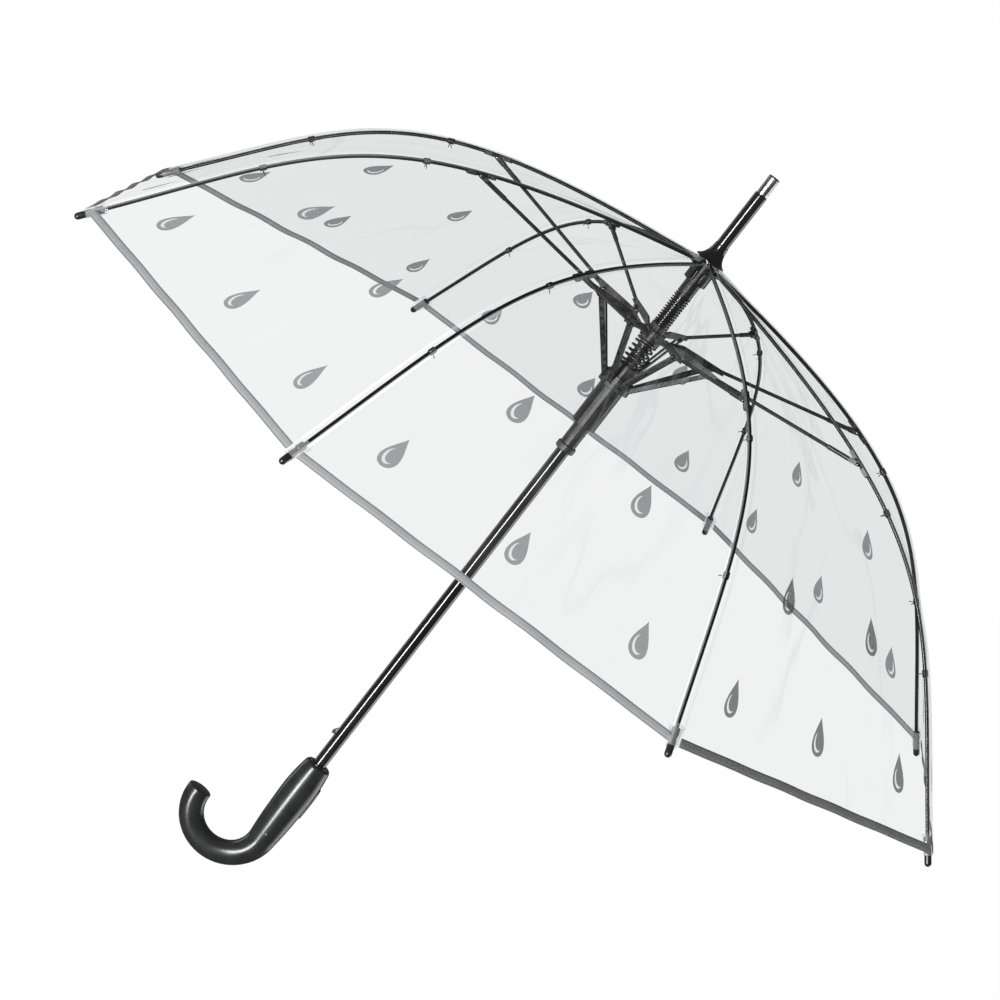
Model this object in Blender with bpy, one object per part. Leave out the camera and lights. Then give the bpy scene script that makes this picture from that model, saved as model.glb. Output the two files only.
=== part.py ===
"""Clear eight-rib stick umbrella, open, in metres with +Z up.

The shaft lies on the Z axis with the ferrule up. The origin is the middle of the hand grip.
Every rib assembly is drawn once in the plane of its rib, as (distance from the axis, height),
and repeated round the shaft. An object's origin is on the axis of its joint.
"""

from math import atan2, cos, hypot, pi, radians, sin

import bmesh
import bpy
from mathutils import Matrix, Vector
from mathutils.geometry import interpolate_bezier

RIBS = 8
FIRST_RIB_AZIMUTH = radians(202.5)
GAP = 0.00035  # running clearance between pieces that touch

# Pivots of one rib assembly: (distance from the axis, height).
# The bracket is as far from the crown pivot as from the ring pivot, so the ring
# stays on the shaft all the way as the ribs fold.
CROWN_PIVOT = (0.0095, 0.6330)
RING_PIVOT = (0.0095, 0.5644)
BRACKET_PIVOT = (0.2316, (CROWN_PIVOT[1] + RING_PIVOT[1]) / 2)
LINK_PIVOT = (0.0660, 0.5700)  # where the link holds the stretcher
RUNNER_PIVOT = (0.0155, 0.5115)

# The rib and the film above it, each as the four handles of one Bezier curve.
RIB_RADIUS = 0.0016
RIB_CURVE = ((0.0180, 0.6466), (0.3476, 0.5985), (0.3612, 0.5390), (0.5064, 0.3728))
FILM_CURVE = ((0.0090, 0.6514), (0.3495, 0.6020), (0.3652, 0.5428), (0.5100, 0.3760))
FILM_THICKNESS = 0.0004
TIP_RADIUS = 0.0032
TIP_PROUD = 0.0098  # past the hem

SHAFT_RADIUS = 0.0065
SHAFT_BORE = 0.0057
SHAFT_BOTTOM = -0.0460
SHAFT_TOP = 0.6460
SLEEVE_BORE = SHAFT_RADIUS + GAP

CROWN_BOTTOM = 0.6140
CROWN_FLANGE = 0.6290
CROWN_TOP = 0.6500
CROWN_RADIUS = 0.0116
HINGE_RING_RADIUS = 0.0112
HINGE_SLOT_FLOOR = 0.0075  # distance from the axis
RING_BOTTOM = 0.5608
RING_SHOULDER = 0.5712
RING_TOP = 0.5780

RUNNER_TOP = 0.5298
RUNNER_RIM = (0.5040, 0.5175)
RUNNER_RIM_RADIUS = 0.0164
RUNNER_RADIUS = 0.0125
RUNNER_CUP = 0.0115
CUP_FLOOR = 0.4680
RUNNER_NECK = (0.4370, 0.4600)
RUNNER_NECK_RADIUS = 0.0081
RUNNER_BOTTOM = 0.4300

FERRULE_BOTTOM = 0.6526
FERRULE_FLARE_TOP = 0.6710
FERRULE_FLARE_RADIUS = 0.0150
FERRULE_TOP = 0.7300
CAP_TOP = 0.7500
CAP_RADIUS = 0.0056

PLATE_THICKNESS = 0.0020
LINK_WIDTH = 0.0047
LINK_RADIUS = 0.0020
ROD_RADIUS = 0.00175
FORK_WIDTH = 0.0062
LUG_WIDTH = 0.0032

HANDLE_TOP = 0.0440
HOOK_CENTRE = -0.0485
HOOK_RADIUS = 0.0380
HOOK_TUBE = 0.0121
HOOK_END = 0.0030
# Half thickness of the grip at distances below the handle's top.
GRIP = ((0, 0.0112), (0.0012, 0.0128), (0.0035, 0.0137), (0.0120, 0.0150), (0.0250, 0.0163),
        (0.0400, 0.0166), (0.0560, 0.0161), (0.0760, 0.0153), (0.0925, 0.0138))
BUTTON_CENTRE = 0.0070
BUTTON_SIZE = (0.0350, 0.0120)
BUTTON_PROUD = 0.0010
BUTTON_BACK = 0.0153
BUTTON_RECESS = 0.0125
PIN_HEIGHT = -0.0385
PIN_RADIUS = 0.0015
PIN_HALF = 0.0141
CATCH_HEIGHT = 0.0812
CATCH_SIZE = (0.0024, 0.0075)


def clear_scene():
    for old in list(bpy.data.objects):
        bpy.data.objects.remove(old)


def material(name, colour, roughness, metallic=0.0, transmission=0.0):
    made = bpy.data.materials.new(name)
    made.use_nodes = True
    shader = made.node_tree.nodes["Principled BSDF"]
    shader.inputs["Base Color"].default_value = (*colour, 1)
    shader.inputs["Roughness"].default_value = roughness
    shader.inputs["Metallic"].default_value = metallic
    shader.inputs["Transmission Weight"].default_value = transmission
    return made


def mesh_from(shape, name):
    """The closed bmesh as a mesh, its faces pointing out and its round sides smooth."""
    bmesh.ops.remove_doubles(shape, verts=shape.verts, dist=1e-7)
    bmesh.ops.recalc_face_normals(shape, faces=shape.faces)
    mesh = bpy.data.meshes.new(name)
    shape.to_mesh(mesh)
    shape.free()
    mesh.shade_smooth()
    mesh.set_sharp_from_angle(angle=radians(35))
    return mesh


def add(name, data, finish, location=(0, 0, 0), turn=0.0, parent=None):
    """A new object. Its location and turn about Z are those under its parent."""
    made = bpy.data.objects.new(name, data)
    if data is not None and finish is not None and not data.materials:
        data.materials.append(finish)
    made.location = location
    made.rotation_euler = (0, 0, turn)
    made.parent = parent
    bpy.context.scene.collection.objects.link(made)
    return made


def turned(name, outline, steps=24):
    """A solid of revolution. The outline is a closed loop of (radius, height)."""
    shape = bmesh.new()
    corners = [shape.verts.new((r, 0, z)) for r, z in outline]
    on_axis = [r == 0 for r, z in outline]
    edges = []
    for i, corner in enumerate(corners):
        after = (i + 1) % len(corners)
        if not (on_axis[i] and on_axis[after]):
            edges.append(shape.edges.new((corner, corners[after])))
    bmesh.ops.spin(
        shape, geom=corners + edges, axis=(0, 0, 1), cent=(0, 0, 0),
        angle=2 * pi, steps=steps, use_merge=False, use_duplicate=False,
    )
    return mesh_from(shape, name)


def cut_out(name, outline, thickness):
    """A plate: the outline of (x, z) points, as thick as said along Y and centred on it."""
    shape = bmesh.new()
    face = shape.faces.new([shape.verts.new((x, -thickness / 2, z)) for x, z in outline])
    grown = bmesh.ops.extrude_face_region(shape, geom=[face])
    moved = [part for part in grown["geom"] if isinstance(part, bmesh.types.BMVert)]
    bmesh.ops.translate(shape, verts=moved, vec=(0, thickness, 0))
    return mesh_from(shape, name)


def box(name, low, high):
    shape = bmesh.new()
    bmesh.ops.create_cube(shape, size=1)
    size = Vector(high) - Vector(low)
    middle = (Vector(high) + Vector(low)) / 2
    bmesh.ops.transform(
        shape, matrix=Matrix.Translation(middle) @ Matrix.Diagonal((*size, 1)), verts=shape.verts
    )
    return mesh_from(shape, name)


def rod(name, start, end, radius, sides=8):
    """A straight round bar between two points."""
    start, end = Vector(start), Vector(end)
    along = end - start
    shape = bmesh.new()
    bmesh.ops.create_cone(
        shape, cap_ends=True, segments=sides, radius1=radius, radius2=radius, depth=along.length
    )
    turn = along.to_track_quat("Z", "Y").to_matrix().to_4x4()
    bmesh.ops.transform(
        shape, matrix=Matrix.Translation((start + end) / 2) @ turn, verts=shape.verts
    )
    return mesh_from(shape, name)


def swept(name, rings):
    """A solid through closed rings of points, each with as many points as the last."""
    shape = bmesh.new()
    loops = [[shape.verts.new(point) for point in ring] for ring in rings]
    count = len(loops[0])
    for before, after in zip(loops, loops[1:]):
        for i in range(count):
            j = (i + 1) % count
            shape.faces.new((before[i], before[j], after[j], after[i]))
    shape.faces.new(loops[0])
    shape.faces.new(loops[-1])
    return mesh_from(shape, name)


def combined(base, steps):
    """The base mesh after each (operation, mesh) Boolean in turn."""
    body = add("body", base, None)
    tools = []
    for operation, other in steps:
        tool = add("tool", other, None)
        tools.append(tool)
        joined = body.modifiers.new("Boolean", "BOOLEAN")
        joined.operation = operation
        joined.object = tool
    bpy.context.view_layer.update()
    graph = bpy.context.evaluated_depsgraph_get()
    mesh = bpy.data.meshes.new_from_object(body.evaluated_get(graph))
    mesh.name = base.name
    for used in [body, *tools]:
        bpy.data.objects.remove(used)
    mesh.materials.clear()
    mesh.shade_smooth()
    mesh.set_sharp_from_angle(angle=radians(35))
    return mesh


def turned_mesh(mesh, angle, location=(0, 0, 0)):
    """The mesh turned about Y, so that its +X points down by the angle, then moved."""
    mesh.transform(Matrix.Translation(location) @ Matrix.Rotation(angle, 4, "Y"))
    return mesh


def arc(centre, radius, start, end, steps):
    """Points of (x, z) on an arc, with both ends."""
    return [
        (centre[0] + radius * cos(a), centre[1] + radius * sin(a))
        for a in (start + (end - start) * i / steps for i in range(steps + 1))
    ]


def bezier(handles, count):
    """Points (distance from the axis, height) along one Bezier curve."""
    a, b, c, d = (Vector((r, 0, z)) for r, z in handles)
    return [(p.x, p.z) for p in interpolate_bezier(a, b, c, d, count)]


def from_pivot(point, pivot):
    return (point[0] - pivot[0], point[1] - pivot[1])


def round_slots(width, inner, low, high, outer=0.02):
    """One cutter for each rib, in a ring round the shaft."""
    cutters = []
    for i in range(RIBS):
        cutter = box("slot", (inner, -width / 2, low), (outer, width / 2, high))
        cutter.transform(Matrix.Rotation(FIRST_RIB_AZIMUTH + i * 2 * pi / RIBS, 4, "Z"))
        cutters.append(("DIFFERENCE", cutter))
    return cutters


def coil(name, radius, wire, bottom, top, turns, steps=10, sides=5):
    """A compression spring with one closed turn at each end."""
    count = int(turns * steps)
    low, high = bottom + wire, top - wire
    rings = []
    for i in range(count + 1):
        turn = i / steps
        share = min(max((turn - 1) / (turns - 2), 0), 1)
        end_rise = 2.05 * wire  # the closed turns lie on each other
        height = low + end_rise * min(turn, 1) + (high - low - 2 * end_rise) * share
        height += end_rise * min(max(turn - turns + 1, 0), 1)
        angle = 2 * pi * turn
        out = Vector((cos(angle), sin(angle), 0))
        centre = out * radius + Vector((0, 0, height))
        rings.append([
            centre + wire * (cos(b) * out + sin(b) * Vector((0, 0, 1)))
            for b in (2 * pi * side / sides for side in range(sides))
        ])
    return swept(name, rings)


def rib_curve():
    """The rib: a drop end that hangs in the crown, then the long bow to the tip."""
    data = bpy.data.curves.new("rib", "CURVE")
    data.dimensions = "3D"
    data.bevel_depth = RIB_RADIUS
    data.bevel_resolution = 1
    data.use_fill_caps = True
    path = [
        (CROWN_PIVOT[0], CROWN_PIVOT[1] - RIB_RADIUS),
        (CROWN_PIVOT[0] + 0.0005, CROWN_PIVOT[1] + 0.0070),
        (CROWN_PIVOT[0] + 0.0030, CROWN_PIVOT[1] + 0.0117),
    ]
    path += bezier(RIB_CURVE, 22)
    spline = data.splines.new("POLY")
    spline.points.add(len(path) - 1)
    for point, place in zip(spline.points, path):
        x, z = from_pivot(place, CROWN_PIVOT)
        point.co = (x, 0, z, 1)
    return data


def tip_mesh():
    """A moulded cap with a flange behind the hem, on the end of the rib."""
    bore = RIB_RADIUS + GAP
    flange = -0.0170
    outline = [(bore, flange), (TIP_RADIUS + 0.0003, flange), (TIP_RADIUS + 0.0003, flange + 0.0070)]
    outline += [(TIP_RADIUS, flange + 0.0078)]
    outline += arc((0, TIP_PROUD - TIP_RADIUS), TIP_RADIUS, 0, pi / 2, 3)[:-1]
    outline += [(0, TIP_PROUD), (0, GAP), (bore, GAP)]
    cap = turned("rib_tip", outline, steps=12)
    before, end = Vector((*RIB_CURVE[2], 0)), Vector((*RIB_CURVE[3], 0))
    down = atan2(before.y - end.y, end.x - before.x)
    return turned_mesh(cap, pi / 2 + down, place_in_plane(RIB_CURVE[3], CROWN_PIVOT))


def place_in_plane(point, pivot):
    x, z = from_pivot(point, pivot)
    return (x, 0, z)


def bracket_mesh():
    """A clip under the rib that carries the stretcher's pivot between two saddles."""
    stations = bezier(RIB_CURVE, 400)
    drops = [hypot(*from_pivot(station, BRACKET_PIVOT)) for station in stations]
    drop = min(drops)  # how far the pivot is below the rib's middle
    nearest = drops.index(drop)
    before, after = stations[nearest - 1], stations[nearest + 1]
    slope = atan2(before[1] - after[1], after[0] - before[0])
    floor_top = drop - RIB_RADIUS - GAP
    floor = floor_top - 0.0009
    lug = arc((0, 0), 0.0021, pi, 2 * pi, 6)
    outline = [(-0.014, floor_top), (-0.014, floor), (-0.0034, floor)] + lug
    outline += [(0.0034, floor), (0.014, floor), (0.014, floor_top)]
    spine = cut_out("rib_bracket", outline, LUG_WIDTH)
    saddles = []
    for side in (-1, 1):
        low, high = sorted((side * 0.0056, side * 0.0140))
        outer, inner = 0.0033, RIB_RADIUS + GAP
        block = box("saddle", (low, -outer, floor), (high, outer, drop + 0.0008))
        groove = box("groove", (low - 0.001, -inner, floor_top), (high + 0.001, inner, drop + 0.01))
        saddles += [("UNION", combined(block, [("DIFFERENCE", groove)]))]
    return turned_mesh(combined(spine, saddles), slope)


def stretcher_mesh():
    """A plate that swings in the ring, a thin rod, and a sleeve that ends in a fork."""
    eye = [from_pivot(p, BRACKET_PIVOT) for p in arc(RING_PIVOT, 0.0016, 0.6 * pi, 1.6 * pi, 5)]
    lower = [(0.0290, 0.5676), (0.0520, 0.5690), (0.0650, 0.5680), (0.0690, 0.5680),
             (0.0730, 0.5702), (0.0830, 0.5712)]
    upper = [(0.0810, 0.5756), (0.0480, 0.5750), (0.0330, 0.5745), (0.0240, 0.5714)]
    outline = eye + [from_pivot(p, BRACKET_PIVOT) for p in lower + upper]
    plate = cut_out("stretcher", outline, PLATE_THICKNESS)
    inner_end = Vector(place_in_plane((0.0760, 0.5735), BRACKET_PIVOT))
    along = inner_end.normalized()
    rise = atan2(-along.z, -along.x)  # the rod climbs towards the bracket
    bar = rod("bar", inner_end, along * 0.0200, ROD_RADIUS)
    sleeve = rod("sleeve", along * 0.0330, along * 0.0080, 0.0022, 10)
    fork = cut_out(
        "fork",
        arc((0, 0), 0.0020, -pi / 2, pi / 2, 6) + [(-0.0095, 0.0020), (-0.0095, -0.0020)],
        FORK_WIDTH,
    )
    throat = box("throat", (-0.0055, -LUG_WIDTH / 2 - GAP, -0.01), (0.01, LUG_WIDTH / 2 + GAP, 0.01))
    fork = turned_mesh(combined(fork, [("DIFFERENCE", throat)]), -rise)
    return combined(plate, [("UNION", bar), ("UNION", sleeve), ("UNION", fork)])


def link_mesh():
    """A strut that splits into two straps, one on each side of the stretcher's plate."""
    x, z = from_pivot(LINK_PIVOT, RUNNER_PIVOT)
    length = hypot(x, z)
    outline = arc((0, 0), LINK_RADIUS, pi / 2, 1.5 * pi, 5)
    outline += arc((length, 0), LINK_RADIUS, -pi / 2, pi / 2, 5)
    strut = cut_out("link", outline, LINK_WIDTH)
    slot = PLATE_THICKNESS / 2 + GAP
    split = box("split", (0.0360, -slot, -0.01), (length + 0.01, slot, 0.01))
    return turned_mesh(combined(strut, [("DIFFERENCE", split)]), -atan2(z, x))


def film_mesh():
    """One sector of film: flat from its rib to the middle of the panel on each side."""
    half = pi / RIBS
    shape = bmesh.new()
    rows = []
    for r, z in bezier(FILM_CURVE, 16):
        reach = r * sin(half) - GAP / 2  # half a panel's width at this height, less half the seam
        x, z = from_pivot((r, z), CROWN_PIVOT)
        side = [(x - reach * sin(half), y * reach * cos(half), z) for y in (-1, 1)]
        rows.append([shape.verts.new(p) for p in (side[0], (x, 0, z), side[1])])
    for above, below in zip(rows, rows[1:]):
        for i in (0, 1):
            shape.faces.new((above[i], below[i], below[i + 1], above[i + 1]))
    bmesh.ops.recalc_face_normals(shape, faces=shape.faces)
    mesh = bpy.data.meshes.new("canopy_panel")
    shape.to_mesh(mesh)
    shape.free()
    mesh.shade_smooth()
    return mesh


def crown_mesh():
    outline = [(SLEEVE_BORE, CROWN_BOTTOM), (0.0079, CROWN_BOTTOM), (0.0079, CROWN_FLANGE - 0.001),
               (CROWN_RADIUS, CROWN_FLANGE), (CROWN_RADIUS, CROWN_TOP), (SLEEVE_BORE, CROWN_TOP)]
    slots = round_slots(
        2 * (RIB_RADIUS + GAP), HINGE_SLOT_FLOOR, CROWN_PIVOT[1] - RIB_RADIUS - 2 * GAP, CROWN_TOP + 0.01
    )
    return combined(turned("crown", outline), slots)


def ring_mesh():
    outline = [(SLEEVE_BORE, RING_BOTTOM), (HINGE_RING_RADIUS, RING_BOTTOM),
               (HINGE_RING_RADIUS, RING_SHOULDER), (0.0085, RING_SHOULDER + 0.0008),
               (0.0085, RING_TOP), (SLEEVE_BORE, RING_TOP)]
    slots = round_slots(
        PLATE_THICKNESS + 2 * GAP, HINGE_SLOT_FLOOR + 0.0001, RING_PIVOT[1] - 0.0016 - 2 * GAP,
        RING_TOP - 0.005,
    )
    return combined(turned("spring_ring", outline), slots)


def runner_mesh():
    neck_low, neck_high = RUNNER_NECK
    rim_low, rim_high = RUNNER_RIM
    outline = [
        (SLEEVE_BORE, RUNNER_BOTTOM), (0.0092, RUNNER_BOTTOM), (0.0098, RUNNER_BOTTOM + 0.001),
        (0.0098, neck_low - 0.001), (RUNNER_NECK_RADIUS, neck_low),
        (RUNNER_NECK_RADIUS, neck_high - 0.001), (RUNNER_RADIUS, neck_high), (RUNNER_RADIUS, rim_low),
        (RUNNER_RIM_RADIUS, rim_low + 0.001), (RUNNER_RIM_RADIUS, rim_high), (0.0128, rim_high),
        (0.0128, rim_high + 0.001), (RUNNER_RADIUS, RUNNER_TOP), (RUNNER_CUP, RUNNER_TOP),
        (RUNNER_CUP, CUP_FLOOR), (SLEEVE_BORE, CUP_FLOOR),
    ]
    slots = round_slots(
        LINK_WIDTH + 2 * GAP, 0.0130, RUNNER_PIVOT[1] - LINK_RADIUS - 2 * GAP, rim_high + 0.0004
    )
    return combined(turned("runner", outline), slots)


def ferrule_mesh():
    spigot, neck = SHAFT_BORE - GAP, SHAFT_RADIUS - 0.0001
    outline = [(0, 0.6340), (spigot, 0.6340), (spigot, SHAFT_TOP + GAP), (neck, SHAFT_TOP + GAP),
               (neck, FERRULE_BOTTOM), (FERRULE_FLARE_RADIUS, FERRULE_BOTTOM),
               (FERRULE_FLARE_RADIUS, FERRULE_BOTTOM + 0.0008)]
    flare = interpolate_bezier(
        Vector((FERRULE_FLARE_RADIUS, FERRULE_BOTTOM + 0.0008, 0)), Vector((0.0100, 0.6560, 0)),
        Vector((0.0072, 0.6620, 0)), Vector((0.0070, FERRULE_FLARE_TOP, 0)), 7,
    )
    outline += [(p.x, p.y) for p in flare[1:]]
    outline += [(neck, FERRULE_FLARE_TOP + 0.0012), (neck, FERRULE_TOP - 0.0006),
                (neck - 0.0006, FERRULE_TOP), (0.0040, FERRULE_TOP), (0.0040, FERRULE_TOP + 0.008),
                (0, FERRULE_TOP + 0.008)]
    return turned("ferrule", outline)


def cap_mesh():
    bore, floor = 0.0040 + GAP, FERRULE_TOP + 0.009
    outline = [(bore, FERRULE_TOP + GAP), (CAP_RADIUS, FERRULE_TOP + GAP)]
    outline += arc((CAP_RADIUS - 0.0012, CAP_TOP - 0.0012), 0.0012, 0, pi / 2, 2)
    outline += [(0, CAP_TOP), (0, floor), (bore, floor)]
    return turned("ferrule_cap", outline)


def shaft_mesh():
    outline = [(SHAFT_BORE, SHAFT_BOTTOM), (SHAFT_RADIUS, SHAFT_BOTTOM), (SHAFT_RADIUS, SHAFT_TOP),
               (SHAFT_BORE, SHAFT_TOP)]
    width, height = CATCH_SIZE
    window = box(
        "window", (-0.010, -width / 2 - GAP, CATCH_HEIGHT - height / 2 - GAP),
        (-0.002, width / 2 + GAP, CATCH_HEIGHT + height / 2 + GAP),
    )
    pin_hole = rod("pin_hole", (0, -0.01, PIN_HEIGHT), (0, 0.01, PIN_HEIGHT), PIN_RADIUS + GAP, 12)
    return combined(turned("shaft_tube", outline), [("DIFFERENCE", window), ("DIFFERENCE", pin_hole)])


def catch_mesh():
    """A sprung tongue: its ramp faces up, and its flat underside holds the closed runner."""
    width, height = CATCH_SIZE
    low, high = CATCH_HEIGHT - height / 2, CATCH_HEIGHT + height / 2
    outline = [(-0.0010, low), (-0.0010, high), (-0.0066, high), (-0.0100, low + 0.003),
               (-0.0100, low + 0.0006), (-0.0096, low)]
    return cut_out("runner_catch", outline, width)


def grip_radius(below):
    """Half thickness of the grip, by a straight line between the listed places."""
    for (a, low), (b, high) in zip(GRIP, GRIP[1:]):
        if below <= b:
            return low + (high - low) * (below - a) / (b - a)
    return GRIP[-1][1]


def handle_mesh():
    """The J: a straight grip, then half a circle towards -X that ends in a flat face."""
    sides = 20
    stations = [((0, HANDLE_TOP - below), 0, radius) for below, radius in GRIP]
    steps = 15
    for i in range(1, steps + 1):
        angle = pi * i / steps
        taper = max(0, 1 - angle / radians(60)) ** 1.5
        radius = HOOK_TUBE + (GRIP[-1][1] - HOOK_TUBE) * taper
        centre = (-HOOK_RADIUS * (1 - cos(angle)), HOOK_CENTRE - HOOK_RADIUS * sin(angle))
        stations.append((centre, angle, radius))
    (x, z), angle, radius = stations[-1]
    end = z + HOOK_END
    stations.append(((x, end - 0.0008), angle, radius))
    stations.append(((x, end), angle, radius - 0.0008))
    rings = []
    for (x, z), angle, radius in stations:
        out = Vector((cos(angle), 0, -sin(angle)))
        rings.append([
            Vector((x, 0, z)) + radius * (cos(a) * out + sin(a) * Vector((0, 1, 0)))
            for a in (2 * pi * i / sides for i in range(sides))
        ])
    bore = rod(
        "bore", (0, 0, SHAFT_BOTTOM - GAP), (0, 0, HANDLE_TOP + 0.01), SHAFT_RADIUS + GAP, 24
    )
    pin_hole = rod("pin_hole", (0, -0.03, PIN_HEIGHT), (0, 0.03, PIN_HEIGHT), PIN_RADIUS + GAP, 12)
    recess = stadium("recess", BUTTON_RECESS, 0.03, GAP)
    cuts = [("DIFFERENCE", tool) for tool in (bore, pin_hole, recess)]
    return combined(swept("handle", rings), cuts)


def stadium(name, near, far, margin):
    """A long rounded block on the +X side, where the button is."""
    length, width = BUTTON_SIZE
    radius = width / 2 + margin
    middle = (length - width) / 2
    ends = arc((0, middle), radius, 0, pi, 8) + arc((0, -middle), radius, pi, 2 * pi, 8)
    block = cut_out(name, ends, far - near)
    block.transform(
        Matrix.Translation(((near + far) / 2, 0, BUTTON_CENTRE)) @ Matrix.Rotation(pi / 2, 4, "Z")
    )
    return block


def button_mesh():
    """The grip's own curve, a little proud, cut to the button's outline."""
    low, high = BUTTON_CENTRE - 0.022, BUTTON_CENTRE + 0.022
    steps = 8
    outline = [(0, low)]
    for i in range(steps + 1):
        height = low + (high - low) * i / steps
        outline.append((grip_radius(HANDLE_TOP - height) + BUTTON_PROUD, height))
    outline.append((0, high))
    block = stadium("push_button", BUTTON_BACK, 0.03, 0)
    return combined(block, [("INTERSECT", turned("grip", outline, steps=40))])


def build():
    clear_scene()
    black = material("gloss_black", (0.012, 0.012, 0.013), 0.18)
    fibre = material("black_fibreglass", (0.018, 0.018, 0.019), 0.32)
    moulded = material("dark_moulded_plastic", (0.035, 0.036, 0.039), 0.42)
    steel = material("spring_steel", (0.42, 0.42, 0.43), 0.30, metallic=1.0)
    satin = material("satin_grey", (0.36, 0.36, 0.37), 0.36)
    rubber = material("satin_anthracite", (0.050, 0.052, 0.056), 0.33)
    film = material("clear_film", (0.93, 0.94, 0.95), 0.08, transmission=1.0)

    add("shaft_tube", shaft_mesh(), black)
    add("crown", crown_mesh(), moulded)
    add("ferrule", ferrule_mesh(), black)
    add("ferrule_cap", cap_mesh(), satin)
    add("handle", handle_mesh(), rubber)
    pin = rod("handle_pin", (0, -PIN_HALF, PIN_HEIGHT), (0, PIN_HALF, PIN_HEIGHT), PIN_RADIUS, 12)
    add("handle_pin", pin, steel)
    add("push_button", button_mesh(), rubber)
    add("runner_catch", catch_mesh(), steel)
    add("spring_ring", ring_mesh(), moulded)
    runner = add("runner", runner_mesh(), moulded)
    spring = coil("opening_spring", 0.0100, 0.0011, CUP_FLOOR + GAP, RING_BOTTOM - GAP, 18)
    add("opening_spring", spring, steel, parent=runner)
    buffer = coil("buffer_spring", 0.0077, 0.0007, RING_TOP + GAP, CROWN_BOTTOM - GAP, 13)
    add("buffer_spring", buffer, steel)

    rib, tip, bracket = rib_curve(), tip_mesh(), bracket_mesh()
    stretcher, link, panel = stretcher_mesh(), link_mesh(), film_mesh()
    for number in range(1, RIBS + 1):
        turn = FIRST_RIB_AZIMUTH + (number - 1) * 2 * pi / RIBS
        out = Vector((cos(turn), sin(turn), 0))
        hinge = add(
            f"rib_hinge_{number}", None, None, out * CROWN_PIVOT[0] + Vector((0, 0, CROWN_PIVOT[1])), turn
        )
        to_bracket = place_in_plane(BRACKET_PIVOT, CROWN_PIVOT)
        add(f"rib_{number}", rib, fibre, parent=hinge)
        add(f"rib_tip_{number}", tip, moulded, parent=hinge)
        add(f"rib_bracket_{number}", bracket, moulded, to_bracket, parent=hinge)
        add(f"stretcher_{number}", stretcher, moulded, to_bracket, parent=hinge)
        at_runner = out * RUNNER_PIVOT[0] + Vector((0, 0, RUNNER_PIVOT[1]))
        add(f"link_{number}", link, moulded, at_runner, turn, runner)
        sector = add(f"canopy_panel_{number}", panel, film, parent=hinge)
        shell = sector.modifiers.new("Solidify", "SOLIDIFY")
        shell.thickness = FILM_THICKNESS
        shell.offset = -1


build()
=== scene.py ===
from math import cos, exp, hypot, pi, radians, sin

import bmesh
import bpy
from mathutils import Matrix, Vector, noise
from mathutils.geometry import interpolate_bezier


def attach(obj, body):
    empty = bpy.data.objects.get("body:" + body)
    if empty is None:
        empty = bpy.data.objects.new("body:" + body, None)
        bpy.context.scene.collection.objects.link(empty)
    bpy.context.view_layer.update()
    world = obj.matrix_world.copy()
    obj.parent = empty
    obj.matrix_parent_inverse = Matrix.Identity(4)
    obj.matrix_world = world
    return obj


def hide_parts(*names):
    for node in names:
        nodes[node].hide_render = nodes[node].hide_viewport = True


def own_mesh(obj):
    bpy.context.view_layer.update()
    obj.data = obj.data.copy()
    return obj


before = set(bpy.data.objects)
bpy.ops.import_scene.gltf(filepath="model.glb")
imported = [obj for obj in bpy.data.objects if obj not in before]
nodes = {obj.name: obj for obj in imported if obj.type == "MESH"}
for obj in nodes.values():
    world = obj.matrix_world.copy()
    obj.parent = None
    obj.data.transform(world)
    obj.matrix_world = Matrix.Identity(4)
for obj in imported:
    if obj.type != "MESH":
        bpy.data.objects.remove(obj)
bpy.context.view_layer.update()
ribNumbers = range(1, 9)


# small helpers for meshes

def ribAngle(number):
    return radians(202.5 + 45 * (number - 1))


def around(angle, distance, height, aside=0.0):
    return Vector((
        distance * cos(angle) - aside * sin(angle),
        distance * sin(angle) + aside * cos(angle),
        height,
    ))


def finishMesh(name, shape, sharp=None):
    bmesh.ops.remove_doubles(shape, verts=shape.verts, dist=1e-6)
    bmesh.ops.recalc_face_normals(shape, faces=shape.faces)
    mesh = bpy.data.meshes.new(name)
    shape.to_mesh(mesh)
    shape.free()
    mesh.shade_smooth()
    if sharp:
        mesh.set_sharp_from_angle(angle=radians(sharp))
    return mesh


def ringMesh(name, rings, sharp=None, capped=True, looped=False):
    shape = bmesh.new()
    loops = [[shape.verts.new(point) for point in ring] for ring in rings]
    count = len(loops[0])
    pairs = list(zip(loops, loops[1:])) + ([(loops[-1], loops[0])] if looped else [])
    for first, second in pairs:
        for i in range(count):
            j = (i + 1) % count
            shape.faces.new((first[i], first[j], second[j], second[i]))
    if capped and not looped:
        shape.faces.new(list(reversed(loops[0])))
        shape.faces.new(loops[-1])
    return finishMesh(name, shape, sharp)


def turnedMesh(name, outline, steps=64, sharp=35, looped=False):
    # outline points are (distance from the axis, height)
    rings = [
        [
            (max(r, 1e-7) * cos(a), max(r, 1e-7) * sin(a), z)
            for a in (2 * pi * i / steps for i in range(steps))
        ]
        for r, z in outline
    ]
    return ringMesh(name, rings, sharp, capped=not looped, looped=looped)


def sweptMesh(name, path, radii, sideways, sides=12, sharp=None):
    # a round bar along points in one plane, whose normal is sideways
    rings = []
    for i, point in enumerate(path):
        ahead = path[min(i + 1, len(path) - 1)] - path[max(i - 1, 0)]
        rise = sideways.cross(ahead).normalized()
        rings.append([
            point + radii[i] * (cos(a) * rise + sin(a) * sideways)
            for a in (2 * pi * side / sides for side in range(sides))
        ])
    return ringMesh(name, rings, sharp)


def bezierLine(handles, count):
    a, b, c, d = (Vector((r, 0, z)) for r, z in handles)
    return [(p.x, p.z) for p in interpolate_bezier(a, b, c, d, count)]


def addPiece(name, mesh, material, body):
    piece = bpy.data.objects.new(name, mesh)
    bpy.context.scene.collection.objects.link(piece)
    mesh.materials.append(material)
    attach(piece, body)
    return piece


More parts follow.
